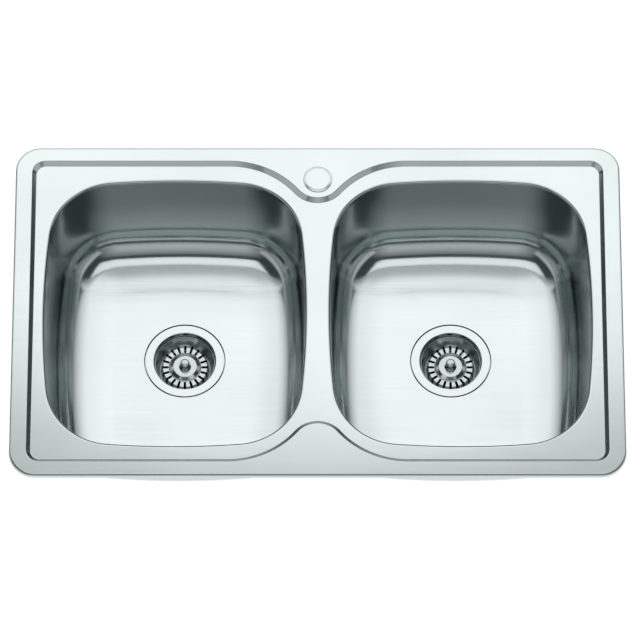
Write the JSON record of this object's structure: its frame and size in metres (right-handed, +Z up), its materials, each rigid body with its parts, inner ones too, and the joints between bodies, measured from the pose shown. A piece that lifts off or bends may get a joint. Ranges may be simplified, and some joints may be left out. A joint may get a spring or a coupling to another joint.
{
  "type": "double bowl kitchen sink",
  "caption": "Inset kitchen sink of pressed stainless steel: side-by-side rounded bowls under a stepped rim, covered tap hole, lift-out basket strainers, threaded outlets, fixing clips.",
  "frame": {"origin": "middle of the sink on the worktop's top surface, which the rim rests on", "axes": "+X to the right along the long side, +Y to the back where the tap hole is, +Z up"},
  "size_m": [0.8, 0.48, 0.2685],
  "materials": {
    "satin_steel": "satin",
    "bright_steel": "polished",
    "zinc_steel": "zinc plated",
    "seal_rubber": "matt",
    "pad_rubber": "matt",
    "foam": "matt foam",
    "black_plastic": "matt"
  },
  "bodies": {
    "sink": {"deck": "satin_steel", "left_bowl": "satin_steel", "right_bowl": "satin_steel", "rim_seal": "foam", "left_sound_pad": "pad_rubber", "right_sound_pad": "pad_rubber", "clip_brackets": "zinc_steel", "clip_rivets": "zinc_steel", "left_strainer_cup": "bright_steel", "left_flange_gasket": "seal_rubber", "left_waste_gasket": "seal_rubber", "left_waste_body": "black_plastic", "left_outlet_spigot": "black_plastic", "left_centre_screw": "bright_steel", "right_strainer_cup": "bright_steel", "right_flange_gasket": "seal_rubber", "right_waste_gasket": "seal_rubber", "right_waste_body": "black_plastic", "right_outlet_spigot": "black_plastic", "right_centre_screw": "bright_steel"},
    "tap_cover": {"tap_hole_cover": "satin_steel", "cover_grip_ring": "seal_rubber"},
    "left_plug": {"left_basket": "bright_steel", "left_stem": "bright_steel", "left_stopper_seal": "seal_rubber", "left_stem_collar": "black_plastic", "left_knob": "bright_steel"},
    "right_plug": {"right_basket": "bright_steel", "right_stem": "bright_steel", "right_stopper_seal": "seal_rubber", "right_stem_collar": "black_plastic", "right_knob": "bright_steel"},
    "clip_1": {"clip_1_hook": "zinc_steel"},
    "clip_1_clamp": {"clip_1_screw": "zinc_steel"},
    "clip_2": {"clip_2_hook": "zinc_steel"},
    "clip_2_clamp": {"clip_2_screw": "zinc_steel"},
    "clip_3": {"clip_3_hook": "zinc_steel"},
    "clip_3_clamp": {"clip_3_screw": "zinc_steel"},
    "clip_4": {"clip_4_hook": "zinc_steel"},
    "clip_4_clamp": {"clip_4_screw": "zinc_steel"},
    "clip_5": {"clip_5_hook": "zinc_steel"},
    "clip_5_clamp": {"clip_5_screw": "zinc_steel"},
    "clip_6": {"clip_6_hook": "zinc_steel"},
    "clip_6_clamp": {"clip_6_screw": "zinc_steel"},
    "clip_7": {"clip_7_hook": "zinc_steel"},
    "clip_7_clamp": {"clip_7_screw": "zinc_steel"},
    "clip_8": {"clip_8_hook": "zinc_steel"},
    "clip_8_clamp": {"clip_8_screw": "zinc_steel"}
  },
  "joints": [
    {"name": "tap_cover_lift", "type": "slide", "parent": "sink", "child": "tap_cover", "axis": [0, 0, 1], "range_m": [0, 0.03]},
    {"name": "left_plug_lift", "type": "slide", "parent": "sink", "child": "left_plug", "axis": [0, 0, 1], "range_m": [0, 0.235]},
    {"name": "right_plug_lift", "type": "slide", "parent": "sink", "child": "right_plug", "axis": [0, 0, 1], "range_m": [0, 0.235]},
    {"name": "clip_1_swing", "type": "hinge", "parent": "sink", "child": "clip_1", "pos_m": [0.36381, -0.151, 0.0005], "axis": [0, 0, -1], "range_deg": [0, 90]},
    {"name": "clip_1_clamp_up", "type": "slide", "parent": "clip_1", "child": "clip_1_clamp", "axis": [0, 0, 1], "range_m": [0, 0.01]},
    {"name": "clip_2_swing", "type": "hinge", "parent": "sink", "child": "clip_2", "pos_m": [0.36381, 0.1479, 0.0005], "axis": [0, 0, -1], "range_deg": [0, 90]},
    {"name": "clip_2_clamp_up", "type": "slide", "parent": "clip_2", "child": "clip_2_clamp", "axis": [0, 0, 1], "range_m": [0, 0.01]},
    {"name": "clip_3_swing", "type": "hinge", "parent": "sink", "child": "clip_3", "pos_m": [0.1872, 0.20581, 0.0005], "axis": [0, 0, -1], "range_deg": [0, 90]},
    {"name": "clip_3_clamp_up", "type": "slide", "parent": "clip_3", "child": "clip_3_clamp", "axis": [0, 0, 1], "range_m": [0, 0.01]},
    {"name": "clip_4_swing", "type": "hinge", "parent": "sink", "child": "clip_4", "pos_m": [-0.1872, 0.20581, 0.0005], "axis": [0, 0, -1], "range_deg": [0, 90]},
    {"name": "clip_4_clamp_up", "type": "slide", "parent": "clip_4", "child": "clip_4_clamp", "axis": [0, 0, 1], "range_m": [0, 0.01]},
    {"name": "clip_5_swing", "type": "hinge", "parent": "sink", "child": "clip_5", "pos_m": [-0.36381, 0.1479, 0.0005], "axis": [0, 0, -1], "range_deg": [0, 90]},
    {"name": "clip_5_clamp_up", "type": "slide", "parent": "clip_5", "child": "clip_5_clamp", "axis": [0, 0, 1], "range_m": [0, 0.01]},
    {"name": "clip_6_swing", "type": "hinge", "parent": "sink", "child": "clip_6", "pos_m": [-0.36381, -0.151, 0.0005], "axis": [0, 0, -1], "range_deg": [0, 90]},
    {"name": "clip_6_clamp_up", "type": "slide", "parent": "clip_6", "child": "clip_6_clamp", "axis": [0, 0, 1], "range_m": [0, 0.01]},
    {"name": "clip_7_swing", "type": "hinge", "parent": "sink", "child": "clip_7", "pos_m": [-0.1872, -0.20581, 0.0005], "axis": [0, 0, -1], "range_deg": [0, 90]},
    {"name": "clip_7_clamp_up", "type": "slide", "parent": "clip_7", "child": "clip_7_clamp", "axis": [0, 0, 1], "range_m": [0, 0.01]},
    {"name": "clip_8_swing", "type": "hinge", "parent": "sink", "child": "clip_8", "pos_m": [0.1872, -0.20581, 0.0005], "axis": [0, 0, -1], "range_deg": [0, 90]},
    {"name": "clip_8_clamp_up", "type": "slide", "parent": "clip_8", "child": "clip_8_clamp", "axis": [0, 0, 1], "range_m": [0, 0.01]}
  ]
}
